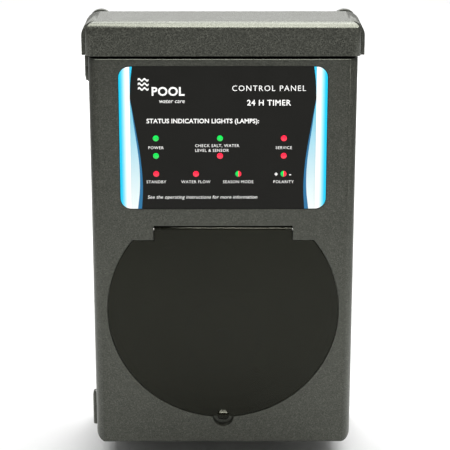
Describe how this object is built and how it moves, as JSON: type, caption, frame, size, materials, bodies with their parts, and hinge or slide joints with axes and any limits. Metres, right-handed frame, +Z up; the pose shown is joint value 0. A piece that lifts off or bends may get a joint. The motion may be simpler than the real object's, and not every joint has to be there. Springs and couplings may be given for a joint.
{
  "type": "salt chlorine generator controller",
  "caption": "Wall-mounted control box with an overhanging top hood, a panel of indicator lights and a round smoked flap over a dial timer and switches.",
  "frame": {"origin": "centre of the rear face that lies against the wall, midway between the four wall screws", "axes": "+Z up, -Y out of the wall through the front cover, +X to the right seen from the front"},
  "size_m": [0.224, 0.1123, 0.377],
  "materials": {
    "case_plastic": "fine grained charcoal",
    "hood_plastic": "fine grained charcoal",
    "cover_plastic": "fine grained charcoal",
    "black_plastic": "satin black",
    "smoked_window": "glossy smoked",
    "label_film": "printed film",
    "seal_rubber": "matte",
    "steel": "zinc plated",
    "brass": "plain",
    "led_green": "clear tinted",
    "led_red": "clear tinted",
    "led_two": "clear",
    "board": "green solder mask",
    "chip_plastic": "matte black",
    "white_plastic": "off-white",
    "timer_grey": "light grey",
    "blue_plastic": "blue",
    "red_plastic": "red",
    "green_plastic": "green",
    "core_steel": "varnished laminations",
    "coil_tape": "varnished copper and tape",
    "aluminium": "extruded",
    "relay_blue": "moulded",
    "cap_sleeve": "sleeved"
  },
  "bodies": {
    "case": {"rear_case": "case_plastic", "wall_ears": "case_plastic", "ear_screws": "steel", "case_gasket": "seal_rubber", "top_hood": "hood_plastic", "hood_screws": "steel", "cover_hinge_pins": "steel", "transformer_core": "core_steel", "transformer_coils": "coil_tape", "transformer_frame": "steel", "transformer_screws": "steel", "main_board": "board", "main_board_screws": "steel", "relays": "relay_blue", "capacitors": "cap_sleeve", "heat_sink": "aluminium", "rectifier": "chip_plastic", "rectifier_screw": "steel", "terminal_block": "white_plastic", "terminal_screws": "brass", "earth_stud": "brass", "gland_bodies": "black_plastic", "gland_caps": "black_plastic", "gland_seals": "seal_rubber", "gland_locknuts": "black_plastic"},
    "cover": {"front_cover": "cover_plastic", "label_plate": "label_film", "leds_green": "led_green", "leds_red": "led_red", "leds_two_colour": "led_two", "led_board": "board", "led_board_screws": "steel", "led_resistors": "chip_plastic", "board_connector": "white_plastic", "control_pod": "black_plastic", "pod_screws": "steel", "control_panel": "black_plastic", "panel_screws": "steel", "timer_bezel": "timer_grey", "timer_case": "white_plastic", "output_potentiometer": "aluminium", "potentiometer_nut": "steel", "rocker_frames": "black_plastic", "boost_button_ring": "steel", "boost_switch_body": "black_plastic", "reset_nut": "steel", "breaker_body": "black_plastic"},
    "dial": {"timer_dial": "white_plastic", "timer_tappets": "blue_plastic", "timer_hub": "blue_plastic"},
    "override": {"override_slider": "red_plastic"},
    "knob": {"output_knob": "black_plastic", "knob_insert": "white_plastic"},
    "mode": {"mode_rocker": "black_plastic"},
    "season": {"season_rocker": "black_plastic"},
    "boost": {"boost_button": "green_plastic"},
    "reset": {"reset_button": "red_plastic"},
    "window": {"window_door": "smoked_window", "window_hinge_pins": "steel", "window_bumpers": "seal_rubber"}
  },
  "joints": [
    {"name": "cover_hinge", "type": "hinge", "parent": "case", "child": "cover", "pos_m": [-0.1078, -0.0802, 0], "axis": [0, 0, -1], "range_deg": [0, 110]},
    {"name": "window_hinge", "type": "hinge", "parent": "cover", "child": "window", "pos_m": [0, -0.107, 0.0229], "axis": [-1, 0, 0], "range_deg": [0, 95]},
    {"name": "timer_turn", "type": "hinge", "parent": "cover", "child": "dial", "pos_m": [0, -0.085, -0.0775], "axis": [0, 1, 0], "continuous": true},
    {"name": "override_slide", "type": "slide", "parent": "cover", "child": "override", "axis": [1, 0, 0], "range_m": [-0.0038, 0.0038]},
    {"name": "output_turn", "type": "hinge", "parent": "cover", "child": "knob", "pos_m": [0, -0.09, -0.0045], "axis": [0, 1, 0], "range_deg": [-150, 150]},
    {"name": "mode_rock", "type": "hinge", "parent": "cover", "child": "mode", "pos_m": [-0.044, -0.0785, -0.0075], "axis": [-1, 0, 0], "range_deg": [0, 18]},
    {"name": "season_rock", "type": "hinge", "parent": "cover", "child": "season", "pos_m": [0.044, -0.0785, -0.0075], "axis": [1, 0, 0], "range_deg": [0, 18]},
    {"name": "boost_press", "type": "slide", "parent": "cover", "child": "boost", "axis": [0, 1, 0], "range_m": [0, 0.002], "stiffness_N_per_m": 400, "springref_m": -0.002},
    {"name": "reset_press", "type": "slide", "parent": "cover", "child": "reset", "axis": [0, 1, 0], "range_m": [0, 0.0025], "stiffness_N_per_m": 400, "springref_m": -0.002}
  ]
}
